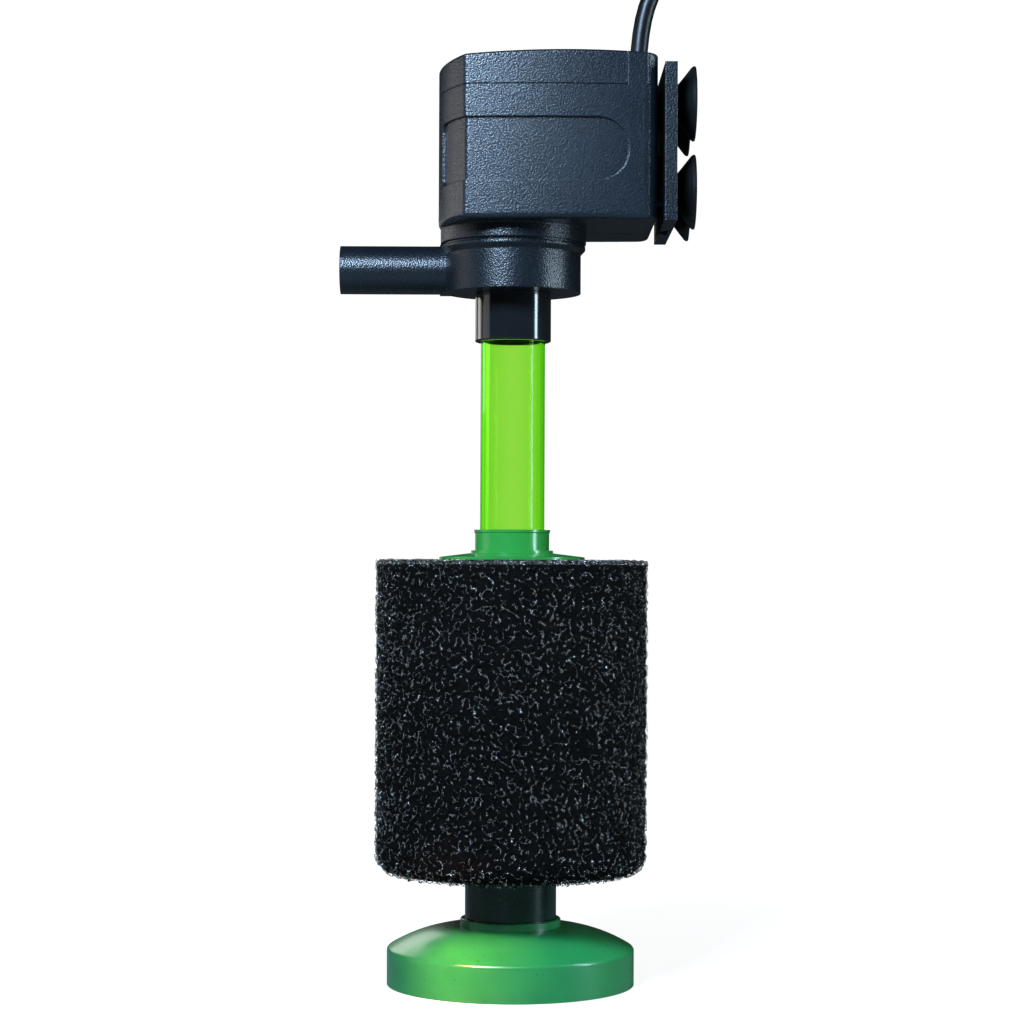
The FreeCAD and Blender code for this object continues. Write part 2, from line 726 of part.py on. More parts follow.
def impeller():
    low = dim("volute_bottom") + 4.4
    top = dim("magnet_bottom") - 0.05
    hub = cylinder("impeller_hub", 4.2, top - low, z=low)
    plate = cylinder("impeller_plate", 9.0, 1.4, z=top - 5.4)
    blades = []
    for i in range(6):
        blade = doc.addObject("Part::Box", f"blade{i}")
        bind(blade, Length=dim("impeller_radius"), Width=1.2, Height=top - 4.6 - low)
        blade.Placement = FreeCAD.Placement(FreeCAD.Vector(), FreeCAD.Rotation(60 * i, 0, 0))
        place(blade, 0, 0, low)
        blades.append(blade)
    hole = cylinder("impeller_hole", dim("shaft_radius") + 0.06, 60, z=220)
    return node("impeller", cut("impeller_solid", fuse("impeller_blank", hub, plate, *blades), hole))


# ---- bracket -----------------------------------------------------------------------------------------


def bracket_plate():
    left = dim("plate_left")
    right = left + dim("plate_thick")
    half = dim("plate_half")
    plate = box("plate_blank", (left, -half, dim("plate_bottom")), (right, half, dim("plate_top")))
    top = dim("rail_top") + 0.1
    throat = box("plate_throat", (left - 1, -4.1, dim("plate_bottom") - 1), (left + 1.65, 4.1, top))
    slot = box("plate_slot", (left + 1.5, -6.1, dim("plate_bottom") - 1), (left + 2.9, 6.1, top))
    holes = [cylinder(f"cup_hole{i}", 2.95, 20, left - 5, y, z, "X")
             for i, (y, z) in enumerate(cup_places())]
    return node("bracket_plate", cut("bracket_plate_solid", plate, throat, slot, *holes))


def cup_places():
    """Where the four cups sit on the plate."""
    side = dim("cup_side")
    return [(y, z) for z in (dim("cup_low"), dim("cup_high")) for y in (-side, side)]


def suction_cups():
    left = dim("plate_left")
    face = left + dim("plate_thick") + 0.02
    rim = dim("cup_rim_at")
    for number, (y, z) in enumerate(cup_places(), start=1):
        body = new_body(f"cup_body{number}")
        sketch = draw(body, "XY_Plane", [
            (left - 1.2, 0), (rim - 3.9, 0), (rim - 3.9, 1.2), Bend(16.0, -1),
            (rim - 0.2, dim("cup_radius") - 0.9), (rim, dim("cup_radius") - 0.1),
            (rim - 0.6, dim("cup_radius")), (rim - 1.3, dim("cup_radius") - 0.5), (face + 1.3, 6.6),
            (face, 5.6), (face, 2.9), (left - 0.05, 2.9), (left - 0.05, 4.4), (left - 1.2, 4.0)])
        turn = body.newObject("PartDesign::Revolution", f"cup_turn{number}")
        turn.Profile = sketch
        turn.ReferenceAxis = (sketch, ["H_Axis"])
        turn.Angle = 360
        place(body, 0, y, z)
        node(f"suction_cup_{number}", body)


# ---- power cord --------------------------------------------------------------------------------------


def cord_route():
    """The hanging stretch of the cord, from the gland to the coil on the floor."""
    floor = DIMENSIONS["floor_gap"] + DIMENSIONS["cord_radius"]
    coil_side = DIMENSIONS["coil_at_x"] - DIMENSIONS["coil_mean"] - DIMENSIONS["cord_radius"]
    coil_y = DIMENSIONS["coil_at_y"]
    x, y = DIMENSIONS["cord_at_x"], DIMENSIONS["cord_at_y"]
    start = DIMENSIONS["cord_start"]
    return [
        (x, y, start), (x, y, start + 20), (48.6, -20, 335.3), (70, -20.5, 358),
        (101, -21.5, 371.5), (134, -23, 370), (163, -25, 354), (181.5, -27, 327),
        (188.5, -29, 285), (189.5, -31, 226), (186.5, -33.5, 163), (183.5, -36.2, 108),
        (182, -38.4, 62), (coil_side, coil_y - 44.5, floor + 27.3),
        (coil_side, coil_y - 34.5, floor + 10), (coil_side, coil_y - 17.2, floor),
        (coil_side, coil_y, floor),
    ]


def tube_along(points, radius, label):
    """A round tube along straight runs joined by tangent arcs, as large as the runs allow."""
    corners = [FreeCAD.Vector(*p) for p in points]
    edges = []
    here = corners[0]
    radii = []
    for before, corner, after in zip(corners, corners[1:], corners[2:]):
        back = (before - corner)
        ahead = (after - corner)
        turn = math.pi - back.getAngle(ahead)
        shorter = min(back.Length, ahead.Length)
        bend = 0.45 * shorter / math.tan(turn / 2)
        back.normalize()
        ahead.normalize()
        first = corner + back * (0.45 * shorter)
        last = corner + ahead * (0.45 * shorter)
        middle_way = back + ahead
        middle_way.normalize()
        middle = corner + middle_way * (bend / math.cos(turn / 2) - bend)
        edges.append(Part.LineSegment(here, first).toShape())
        edges.append(Part.Arc(first, middle, last).toShape())
        here = last
        radii.append(round(bend, 1))
    edges.append(Part.LineSegment(here, corners[-1]).toShape())
    path = Part.Wire(edges)
    section = Part.Wire([Part.Circle(corners[0], corners[1] - corners[0], radius).toShape()])
    solid = path.makePipeShell([section], True, False)
    expected = math.pi * radius ** 2 * path.Length
    print(label, "bend radii", radii, "length", round(path.Length, 1), "volume ratio",
          round(solid.Volume / expected, 4))
    return solid


def tube_feature(label, points):
    obj = doc.addObject("Part::Feature", f"{label}_tube")
    obj.Shape = tube_along(points, DIMENSIONS["cord_radius"], label)
    return node(label, obj)


def cord_coil():
    """The outer shape of five turns: two layers of two turns with one turn nested on top."""
    mean = dim("coil_mean")
    half = dim("cord_radius") * 2
    low = dim("floor_gap")
    body = new_body("cord_coil_body")
    sketch = draw(body, "XZ_Plane", [
        (mean - half, low + 1.2), (mean - half + 1.2, low), (mean + half - 1.2, low),
        (mean + half, low + 1.2), (mean + half, low + half * 2 - 1.2),
        (mean + half / 2, low + dim("coil_stack")), (mean - half / 2, low + dim("coil_stack")),
        (mean - half, low + half * 2 - 1.2)])
    turn = body.newObject("PartDesign::Revolution", "cord_coil_turn")
    turn.Profile = sketch
    turn.ReferenceAxis = (sketch, ["V_Axis"])
    turn.Angle = 360
    place(body, dim("coil_at_x"), dim("coil_at_y"), 0)
    return node("cord_coil", body)


def coil_tie():
    """A flat tie drawn tight round the coil, at its front."""
    half = dim("cord_radius") * 2
    x = dim("coil_at_x")
    y = dim("coil_at_y") - dim("coil_mean")
    low = dim("floor_gap")
    top = low + dim("coil_stack")
    thick = dim("tie_thick")
    wide = dim("tie_half_width")
    outer = box("tie_outer", (x - wide, y - half - thick, low), (x + wide, y + half + thick, top + thick))
    inner = box("tie_inner", (x - 2 * wide.value, y - half, low + thick),
                (x + 2 * wide.value, y + half, top))
    return node("coil_tie", cut("coil_tie_solid", outer, inner))


# ---- plug --------------------------------------------------------------------------------------------


def plug_tail(x, y, z):
    """The ribbed strain relief, from the plug's back to the cord."""
    length = dim("tail_length")
    outline = [(0, -2), (5.6, -2)]
    for rib in range(3):
        low = length * (rib / 3)
        outline += [(5.6 - 0.6 * rib, low), (5.5 - 0.6 * rib, low + 2.0)]
        outline += [(4.5 - 0.4 * rib, low + 2.1), (4.5 - 0.4 * rib, low + 2.9)]
    outline += [(3.3, length), (0, length)]
    tail = revolved("plug_tail", outline)
    tail.Placement = FreeCAD.Placement(FreeCAD.Vector(), FreeCAD.Rotation(FreeCAD.Vector(1, 0, 0), -90))
    place(tail, x, y, z)
    return tail


def plug():
    """A flat two-pin plug that lies on the coil, pins towards the front."""
    x = dim("coil_at_x") + dim("plug_offset")
    back = dim("coil_at_y") - dim("tail_length")
    face = back - dim("plug_length")
    shoulder = face + dim("plug_shoulder")
    low = dim("floor_gap") + dim("coil_stack")
    z = low + dim("plug_height") / 2
    half = dim("plug_half_width")
    neck = dim("plug_neck")
    block = new_body("plug_block")
    sketch = draw(block, "XY_Plane", [
        (x - half, face), (x + half, face), (x + half, shoulder), (x + neck, back), (x - neck, back),
        (x - half, shoulder)], offset=low)
    padded(block, sketch, dim("plug_height"))
    fillet(block, 1.8, lambda edge: edge.BoundBox.YMax > face.value + 0.1)
    whole = fuse("plug_blank", block, plug_tail(x, back, z))
    holes = []
    for name, side in (("left", -dim("pin_side")), ("right", dim("pin_side"))):
        radius = dim("pin_radius")
        length = dim("pin_length")
        pin = revolved(f"pin_{name}", [
            (0, -dim("pin_root")), (radius, -dim("pin_root")), (radius, length - 1.2),
            Bend(1.2, 1), (radius - 1.2, length), (0, length)])
        pin.Placement = FreeCAD.Placement(
            FreeCAD.Vector(), FreeCAD.Rotation(FreeCAD.Vector(1, 0, 0), 90))
        place(pin, x + side, face, z)
        node(f"plug_pin_{name}", pin)
        holes.append(cylinder(f"pin_{name}_hole", radius + 0.02, dim("pin_root") + 1, x + side,
                              face - 1, z, "Y"))
    node("plug_body", cut("plug_body_solid", whole, *holes))


# ---- the assembly ------------------------------------------------------------------------------------

base_disc()
ballast_ring()
base_plate()
core_tube()
sponge()
top_flange()
extension_tube()
inlet_sleeve()
volute_cover()
lower_bush()
pump_housing()
top_cover()
cable_gland()
stator_core()
coil_former("front", -1)
coil_former("back", 1)
potting()
upper_bush()
volute_seal()
shaft()
rotor_magnet()
impeller()
bracket_plate()
suction_cups()
tube_feature("power_cord", cord_route())
cord_coil()
coil_tie()
plug()

doc.recompute()
faults = [f"{o.Name} {o.State}" for o in doc.Objects if {"Invalid", "Error"} & set(o.State)]
for label, obj in NODES.items():
    shape = obj.Shape
    if shape.isNull() or not shape.isValid():
        faults.append(f"{label} has no valid shape")
    elif len(shape.Solids) != 1:
        faults.append(f"{label} has {len(shape.Solids)} solids")
if faults:
    raise SystemExit("\n".join(faults))

os.makedirs("parts", exist_ok=True)
for label, obj in NODES.items():
    obj.Shape.exportStep(f"parts/{label}.step")
    print(label, round(obj.Shape.Volume, 1), obj.Shape.BoundBox)
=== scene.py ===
import math

import bpy
import numpy as np
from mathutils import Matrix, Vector, noise
from mathutils.kdtree import KDTree


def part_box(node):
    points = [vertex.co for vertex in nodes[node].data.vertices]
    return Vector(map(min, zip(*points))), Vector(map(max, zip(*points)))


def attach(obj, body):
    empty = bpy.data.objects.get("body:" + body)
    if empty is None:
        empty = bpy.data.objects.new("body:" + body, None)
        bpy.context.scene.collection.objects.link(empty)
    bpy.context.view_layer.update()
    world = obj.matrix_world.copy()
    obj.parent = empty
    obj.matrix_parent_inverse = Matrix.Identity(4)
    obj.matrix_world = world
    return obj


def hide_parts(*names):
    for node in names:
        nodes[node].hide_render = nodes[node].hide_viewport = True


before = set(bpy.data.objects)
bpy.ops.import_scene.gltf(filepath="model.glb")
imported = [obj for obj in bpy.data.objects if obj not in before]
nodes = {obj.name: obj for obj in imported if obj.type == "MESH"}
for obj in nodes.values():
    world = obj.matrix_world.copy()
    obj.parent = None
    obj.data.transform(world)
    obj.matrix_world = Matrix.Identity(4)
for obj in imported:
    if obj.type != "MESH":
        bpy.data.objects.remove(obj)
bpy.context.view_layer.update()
MM = 0.001


# ---- camera, floor and light ---------------------------------------------------------------------------

CAMERA_HEIGHT = 0.1418
CAMERA_AWAY = 0.835
CAMERA_ROLL = -0.25
SENSOR_WIDTH = 36.0
LENS = 87.5
LENS_SHIFT = 0.046875
CLIP_START = 0.05
CLIP_END = 20.0

KEY_BLUE = (0.50, 0.72, 1.0)
STRIP_BLUE = (0.62, 0.82, 1.0)
FILL_WARM = (1.0, 0.97, 0.90)
END_WARM = (1.0, 0.97, 0.92)
BACK_WARM = (1.0, 1.0, 0.94)
TUBE_AMBER = (1.0, 0.36, 0.07)

FLOOR_HALF = 4.0
FLOOR_DROP = 0.2 * MM
FLOOR_GREY = (0.2, 0.2, 0.19, 1)
GLOW_FROM = 0.08
GLOW_TO = 0.45
# The glow near the object is lower than far out: a painted shade around it.
GLOW_NEAR_PAINTED_SHADE = 0.9
GLOW_FAR = 1.0
WORLD_AS_LIGHT = 0.02
WORLD_TO_THE_EYE = 1.05


def link(thing):
    """Puts an object in the scene."""
    bpy.context.scene.collection.objects.link(thing)


def add_camera():
    """A level camera in front of the object, rolled a little."""
    data = bpy.data.cameras.new("camera")
    data.sensor_width = SENSOR_WIDTH
    data.lens = LENS
    data.shift_y = LENS_SHIFT
    data.clip_start = CLIP_START
    data.clip_end = CLIP_END
    camera = bpy.data.objects.new("camera", data)
    camera.location = (0.0, -CAMERA_AWAY, CAMERA_HEIGHT)
    camera.rotation_euler = (math.radians(90), math.radians(CAMERA_ROLL), 0)
    link(camera)
    bpy.context.scene.camera = camera


def add_light(name, place, target, width, height, power, colour, cone=180):
    """A flat lamp that points at a target and that the camera doesn't see."""
    data = bpy.data.lights.new(name, "AREA")
    data.shape = "RECTANGLE"
    data.size = width
    data.size_y = height
    data.energy = power
    data.color = colour
    data.spread = math.radians(cone)
    light = bpy.data.objects.new(name, data)
    light.location = place
    light.visible_camera = False
    way = Vector(target) - Vector(place)
    light.rotation_euler = way.to_track_quat("-Z", "Y").to_euler()
    link(light)


def add_lights():
    """A cool key and strip, a warm fill, two small lamps on the left, and a narrow amber lamp that puts a
    coloured patch on the base."""
    add_light("key", (-0.30, -0.66, 0.64), (-0.03, 0, 0.29), 0.26, 0.26, 18, KEY_BLUE)
    add_light("fill_left", (-1.0, 0.0, 0.25), (0, 0, 0.22), 0.5, 0.8, 1.1, FILL_WARM)
    add_light("end_left", (-0.55, 0.35, 0.33), (-0.03, 0, 0.30), 0.3, 0.2, 0.018, END_WARM, 30)
    add_light("back_left", (-0.16, 0.36, 0.20), (-0.03, 0, 0.03), 0.2, 0.2, 0.03, BACK_WARM, 60)
    add_light("through_tube", (-0.25, -0.35, 0.35), (-0.02, -0.04, 0.018), 0.02, 0.02, 0.016, TUBE_AMBER, 5)
    add_light("strip_right", (0.75, -0.22, 0.25), (0, 0, 0.2), 0.12, 0.9, 7, STRIP_BLUE)


def looked_at(tree):
    """One for what the eye sees, straight or through clear plastic, and zero for light and reflections."""
    path = tree.nodes.new("ShaderNodeLightPath")
    either = tree.nodes.new("ShaderNodeMath")
    either.operation = "MAXIMUM"
    tree.links.new(path.outputs["Is Camera Ray"], either.inputs[0])
    tree.links.new(path.outputs["Is Transmission Ray"], either.inputs[1])
    return either.outputs[0]


def add_floor():
    """A grey floor with a white glow that only the eye sees, a little weaker near the object as a painted
    shade.
    """
    mesh = bpy.data.meshes.new("floor")
    half = FLOOR_HALF
    mesh.from_pydata([(-half, -half, 0), (half, -half, 0), (half, half, 0), (-half, half, 0)], [],
                     [(0, 1, 2, 3)])
    floor = bpy.data.objects.new("floor", mesh)
    floor.location.z = -FLOOR_DROP
    link(floor)
    material, tree, shader = new_material("floor_white")
    shader.inputs["Base Color"].default_value = FLOOR_GREY
    shader.inputs["Roughness"].default_value = 0.8
    shader.inputs["Emission Color"].default_value = (1, 1, 1, 1)
    away = tree.nodes.new("ShaderNodeVectorMath")
    away.operation = "LENGTH"
    tree.links.new(object_place(tree), away.inputs[0])
    # Weaker glow near the object: a painted shade around it.
    glow = tree.nodes.new("ShaderNodeMapRange")
    glow.inputs["From Min"].default_value = GLOW_FROM
    glow.inputs["From Max"].default_value = GLOW_TO
    glow.inputs["To Min"].default_value = GLOW_NEAR_PAINTED_SHADE
    glow.inputs["To Max"].default_value = GLOW_FAR
    tree.links.new(away.outputs["Value"], glow.inputs["Value"])
    seen = tree.nodes.new("ShaderNodeMath")
    seen.operation = "MULTIPLY"
    tree.links.new(glow.outputs[0], seen.inputs[0])
    tree.links.new(looked_at(tree), seen.inputs[1])
    tree.links.new(seen.outputs[0], shader.inputs["Emission Strength"])
    mesh.materials.append(material)


def background(tree, strength):
    """A plain white background of that strength."""
    node = tree.nodes.new("ShaderNodeBackground")
    node.inputs["Color"].default_value = (1, 1, 1, 1)
    node.inputs["Strength"].default_value = strength
    return node.outputs[0]


def add_world():
    """White to the eye and through clear plastic, dim as light."""
    world = bpy.data.worlds.new("studio")
    bpy.context.scene.world = world
    world.use_nodes = True
    tree = world.node_tree
    tree.nodes.clear()
    mix = tree.nodes.new("ShaderNodeMixShader")
    tree.links.new(looked_at(tree), mix.inputs[0])
    tree.links.new(background(tree, WORLD_AS_LIGHT), mix.inputs[1])
    tree.links.new(background(tree, WORLD_TO_THE_EYE), mix.inputs[2])
    output = tree.nodes.new("ShaderNodeOutputWorld")
    tree.links.new(mix.outputs[0], output.inputs["Surface"])


# ---- materials -----------------------------------------------------------------------------------------

EDGE_ROUNDING = 0.55 * MM
ACRYLIC_IOR = 1.49
TUBE_IOR = 1.2
FOAM_BLACK = (0.001, 0.001, 0.001)
FOAM_GREY = (0.003, 0.0028, 0.0026)
STRUT_BLACK = (0.002, 0.0022, 0.0025)
# Pale metallic colour and its noise range on the foam struts: painted glints.
PAINTED_GLINT_COLOUR = (0.58, 0.54, 0.50)
PAINTED_GLINT_FROM = 0.49
PAINTED_GLINT_TO = 0.57


def new_material(name):
    """A material with its node tree and its main shader."""
    material = bpy.data.materials.new(name)
    material.use_nodes = True
    tree = material.node_tree
    shader = tree.nodes["Principled BSDF"]
    return material, tree, shader


def object_place(tree):
    """Each point's place in its own object, in metres."""
    return tree.nodes.new("ShaderNodeTexCoord").outputs["Object"]


def object_noise(tree, scale, detail=2.0, roughness=0.5):
    """A noise fixed to the object, with scale in features to the metre."""
    pattern = tree.nodes.new("ShaderNodeTexNoise")
    pattern.inputs["Scale"].default_value = scale
    pattern.inputs["Detail"].default_value = detail
    pattern.inputs["Roughness"].default_value = roughness
    tree.links.new(object_place(tree), pattern.inputs["Vector"])
    return pattern.outputs["Fac"]


def object_cells(tree, scale):
    """Small cells fixed to the object, as the distance to each cell's middle."""
    pattern = tree.nodes.new("ShaderNodeTexVoronoi")
    pattern.inputs["Scale"].default_value = scale
    tree.links.new(object_place(tree), pattern.inputs["Vector"])
    return pattern.outputs["Distance"]


def ramp(tree, value, stops):
    """A colour ramp over (position, colour) stops."""
    node = tree.nodes.new("ShaderNodeValToRGB")
    elements = node.color_ramp.elements
    while len(elements) < len(stops):
        elements.new(0.5)
    for element, (position, colour) in zip(elements, stops):
        element.position = position
        element.color = (*colour, 1)
    tree.links.new(value, node.inputs[0])
    return node.outputs[0]


def between(tree, value, low, high):
    """Maps 0 to 1 onto low to high."""
    node = tree.nodes.new("ShaderNodeMapRange")
    node.inputs["To Min"].default_value = low
    node.inputs["To Max"].default_value = high
    tree.links.new(value, node.inputs["Value"])
    return node.outputs[0]


def add_bump(tree, shader, height, strength, distance, rounding=0.0):
    """Bumps by a height. Rounding also shades sharp edges as if they had that radius; the mesh keeps
    them sharp."""
    node = tree.nodes.new("ShaderNodeBump")
    node.inputs["Strength"].default_value = strength
    node.inputs["Distance"].default_value = distance
    tree.links.new(height, node.inputs["Height"])
    if rounding:
        edge = tree.nodes.new("ShaderNodeBevel")
        edge.samples = 6
        edge.inputs["Radius"].default_value = rounding
        tree.links.new(edge.outputs[0], node.inputs["Normal"])
    tree.links.new(node.outputs[0], shader.inputs["Normal"])


def grained_plastic(name, dark, light, roughness=0.28, grain=1900.0, strength=0.42):
    """Moulded plastic with a fine leather-like grain."""
    material, tree, shader = new_material(name)
    cells = object_cells(tree, grain)
    cloud = object_noise(tree, 60.0, 3.0)
    tree.links.new(ramp(tree, cloud, [(0.35, dark), (0.65, light)]), shader.inputs["Base Color"])
    tree.links.new(between(tree, cells, roughness - 0.08, roughness + 0.12), shader.inputs["Roughness"])
    add_bump(tree, shader, cells, strength, 0.0002, EDGE_ROUNDING)
    return material


def gloss_plastic(name, dark, light, roughness=0.12, coat=0.3, ripple=0.04):
    """Smooth moulded plastic with faint flow marks."""
    material, tree, shader = new_material(name)
    cloud = object_noise(tree, 38.0, 3.0)
    fine = object_noise(tree, 700.0, 2.0)
    tree.links.new(ramp(tree, cloud, [(0.3, dark), (0.7, light)]), shader.inputs["Base Color"])
    tree.links.new(between(tree, fine, roughness - 0.03, roughness + 0.05), shader.inputs["Roughness"])
    shader.inputs["Coat Weight"].default_value = coat
    shader.inputs["Coat Roughness"].default_value = 0.06
    add_bump(tree, shader, cloud, ripple, 0.0006)
    return material


def green_plastic(name, dark, light, clear=0.35, roughness=0.12):
    """Tinted plastic; clear is the share of the light that it lets through."""
    material = gloss_plastic(name, dark, light, roughness, 0.15)
    shader = material.node_tree.nodes["Principled BSDF"]
    shader.inputs["Transmission Weight"].default_value = clear
    shader.inputs["IOR"].default_value = ACRYLIC_IOR
    return material


def clear_plastic(name, tint, keeps, density):
    """Clear tinted plastic, deeper in colour where the eye looks along its wall."""
    material, tree, shader = new_material(name)
    inside = tree.nodes.new("ShaderNodeVolumeAbsorption")
    inside.inputs["Color"].default_value = (*keeps, 1)
    inside.inputs["Density"].default_value = density
    tree.links.new(inside.outputs[0], tree.nodes["Material Output"].inputs["Volume"])
    cloud = object_noise(tree, 30.0, 2.0)
    pale = tuple(min(1.0, c * 1.06) for c in tint)
    tree.links.new(ramp(tree, cloud, [(0.3, tint), (0.7, pale)]), shader.inputs["Base Color"])
    shader.inputs["Roughness"].default_value = 0.07
    shader.inputs["Transmission Weight"].default_value = 1.0
    shader.inputs["IOR"].default_value = TUBE_IOR
    add_bump(tree, shader, cloud, 0.03, 0.0005)
    return material


def rubber(name, tone, roughness=0.38, level=0.5):
    """Rubber or soft plastic, slightly cloudy; level is how strongly it mirrors."""
    material, tree, shader = new_material(name)
    fine = object_noise(tree, 900.0, 3.0)
    cloud = object_noise(tree, 90.0, 2.0)
    shader.inputs["Specular IOR Level"].default_value = level
    dark = tuple(0.7 * c for c in tone)
    light = tuple(1.5 * c for c in tone)
    tree.links.new(ramp(tree, cloud, [(0.3, dark), (0.7, light)]), shader.inputs["Base Color"])
    tree.links.new(between(tree, fine, roughness - 0.08, roughness + 0.1), shader.inputs["Roughness"])
    add_bump(tree, shader, fine, 0.15, 0.0001)
    return material


def metal(name, dark, light, roughness=0.35, grain=400.0):
    """Bare metal with a fine cloudy grain."""
    material, tree, shader = new_material(name)
    streak = object_noise(tree, grain, 3.0)
    tree.links.new(ramp(tree, streak, [(0.3, dark), (0.7, light)]), shader.inputs["Base Color"])
    tree.links.new(between(tree, streak, roughness - 0.1, roughness + 0.1), shader.inputs["Roughness"])
    shader.inputs["Metallic"].default_value = 1.0
    add_bump(tree, shader, streak, 0.1, 0.0001)
    return material


def foam_material(name):
    """Dull black, for the foam under its open skin."""
    material, tree, shader = new_material(name)
    fine = object_noise(tree, 700.0, 2.0)
    tree.links.new(ramp(tree, fine, [(0.3, FOAM_BLACK), (0.7, FOAM_GREY)]), shader.inputs["Base Color"])
    shader.inputs["Roughness"].default_value = 0.85
    shader.inputs["Specular IOR Level"].default_value = 0.05
    return material


def strut_material(name):
    """Black foam struts with small pale metallic patches, which are painted glints."""
    material, tree, shader = new_material(name)
    # Noise patches in pale metallic colour: painted glints on the struts.
    painted_glints = object_noise(tree, 880.0, 2.0)
    tree.links.new(ramp(tree, painted_glints, [(PAINTED_GLINT_FROM, STRUT_BLACK), (PAINTED_GLINT_TO, PAINTED_GLINT_COLOUR)]),
                   shader.inputs["Base Color"])
    tree.links.new(ramp(tree, painted_glints, [(PAINTED_GLINT_FROM, (0, 0, 0)), (PAINTED_GLINT_TO, (1, 1, 1))]),
                   shader.inputs["Metallic"])
    shader.inputs["Roughness"].default_value = 0.2
    shader.inputs["Specular IOR Level"].default_value = 0.2
    add_bump(tree, shader, object_noise(tree, 2600.0), 0.7, 0.0004)
    return material


def copper_wire():
    """Enamelled wire in close turns."""
    material, tree, shader = new_material("copper_wire")
    wave = tree.nodes.new("ShaderNodeTexWave")
    wave.bands_direction = "X"
    wave.inputs["Scale"].default_value = 1100.0
    wave.inputs["Distortion"].default_value = 0.4
    tree.links.new(object_place(tree), wave.inputs["Vector"])
    shade = ramp(tree, wave.outputs["Fac"], [(0.2, (0.25, 0.07, 0.025)), (0.8, (0.62, 0.24, 0.09))])
    tree.links.new(shade, shader.inputs["Base Color"])
    shader.inputs["Metallic"].default_value = 0.9
    shader.inputs["Roughness"].default_value = 0.3
    add_bump(tree, shader, wave.outputs["Fac"], 0.5, 0.0002)
    return material


def dress(material, *names):
    """Gives CAD nodes a material."""
    for name in names:
        mesh = nodes[name].data
        mesh.materials.clear()
        mesh.materials.append(material)


def dress_all():
    """Gives every CAD node its material."""
    slate = grained_plastic("slate_grain", (0.005, 0.0075, 0.011), (0.0075, 0.011, 0.0155))
    black = grained_plastic("black_grain", (0.004, 0.006, 0.009), (0.006, 0.009, 0.012), 0.27)
    dress(slate, "pump_housing", "top_cover")
    dress(black, "volute_cover", "bracket_plate")
    dress(gloss_plastic("gloss_black", (0.006, 0.007, 0.008), (0.010, 0.012, 0.013), 0.10),
          "inlet_sleeve")
    dress(green_plastic("base_green", (0.012, 0.17, 0.045), (0.024, 0.25, 0.065), 0.0, 0.28), "base_disc")
    dress(green_plastic("plate_green", (0.010, 0.14, 0.05), (0.02, 0.18, 0.06)), "base_plate")
    dress(rubber("core_green", (0.0015, 0.020, 0.008), 0.24, 0.3), "core_tube")
    dress(green_plastic("flange_green", (0.03, 0.32, 0.05), (0.05, 0.40, 0.07), 0.35, 0.2), "top_flange")
    dress(clear_plastic("clear_green", (0.96, 0.985, 0.92), (0.56, 0.875, 0.06), 950.0), "extension_tube")
    dress(rubber("soft_rubber", (0.004, 0.0045, 0.005), 0.4, 0.3), "suction_cup_1", "suction_cup_2",
          "suction_cup_3", "suction_cup_4", "cable_gland", "lower_bush", "upper_bush", "volute_seal")
    dress(metal("ballast_steel", (0.30, 0.30, 0.31), (0.42, 0.42, 0.43)), "ballast_ring")
    dress(metal("laminations", (0.22, 0.22, 0.23), (0.34, 0.34, 0.36), 0.45, 900.0), "stator_core")
    dress(metal("magnet", (0.05, 0.05, 0.055), (0.08, 0.08, 0.085), 0.5), "rotor_magnet")
    dress(metal("pin_metal", (0.62, 0.60, 0.55), (0.75, 0.72, 0.66), 0.22), "plug_pin_left",
          "plug_pin_right")
    dress(gloss_plastic("ceramic", (0.80, 0.79, 0.75), (0.88, 0.87, 0.84), 0.12), "shaft")
    dress(gloss_plastic("bobbin_white", (0.70, 0.69, 0.64), (0.78, 0.77, 0.72), 0.3), "bobbin_front",
          "bobbin_back")
    dress(gloss_plastic("impeller_white", (0.68, 0.70, 0.72), (0.76, 0.78, 0.80), 0.3), "impeller")
    dress(gloss_plastic("resin", (0.02, 0.02, 0.022), (0.03, 0.03, 0.034), 0.25), "potting")
    dress(copper_wire(), "winding_front", "winding_back")
    dress(rubber("plug_plastic", (0.010, 0.010, 0.011), 0.45), "plug_body", "coil_tie")


# ---- sponge --------------------------------------------------------------------------------------------

FOAM_DEPTH = 3.0 * MM
FOAM_SPACING = 1.36 * MM
STRUT_RADIUS = 0.14 * MM
FOAM_SECTORS = 4
SPONGE_CORNER = 7.0 * MM
SPONGE_BORE = 15.6 * MM
FLANGE_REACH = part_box("top_flange")[1][0]
FLANGE_EASE = 3 * MM
FOAM_SWELL = 0.6 * MM
FOAM_JITTER = 0.48
FOAM_SKIN = 0.3 * MM
FOAM_SEED = 7
CORE_SINK = 0.48 * FOAM_DEPTH
CORE_LUMPS = 420.0
CORE_LUMP_HEIGHT = 0.9 * MM
NEAREST_POINTS = 4
LONGEST_STRUT = 2.0 * FOAM_SPACING


def sponge_extent():
    """The sponge's bottom, top and outer radius."""
    low_corner, high_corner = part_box("sponge")
    return low_corner[2], high_corner[2], high_corner[0]


def sponge_depth(radius, height, low, high, outer):
    """How far points at a radius and height lie under the sponge's outer skin."""
    depth = np.minimum(outer - radius, np.minimum(height - low, high - height))
    inner_radius = outer - SPONGE_CORNER
    inner_height = low + SPONGE_CORNER
    corner = (radius > inner_radius) & (height < inner_height)
    rounded = SPONGE_CORNER - np.hypot(radius - inner_radius, height - inner_height)
    return np.where(corner, rounded, depth)


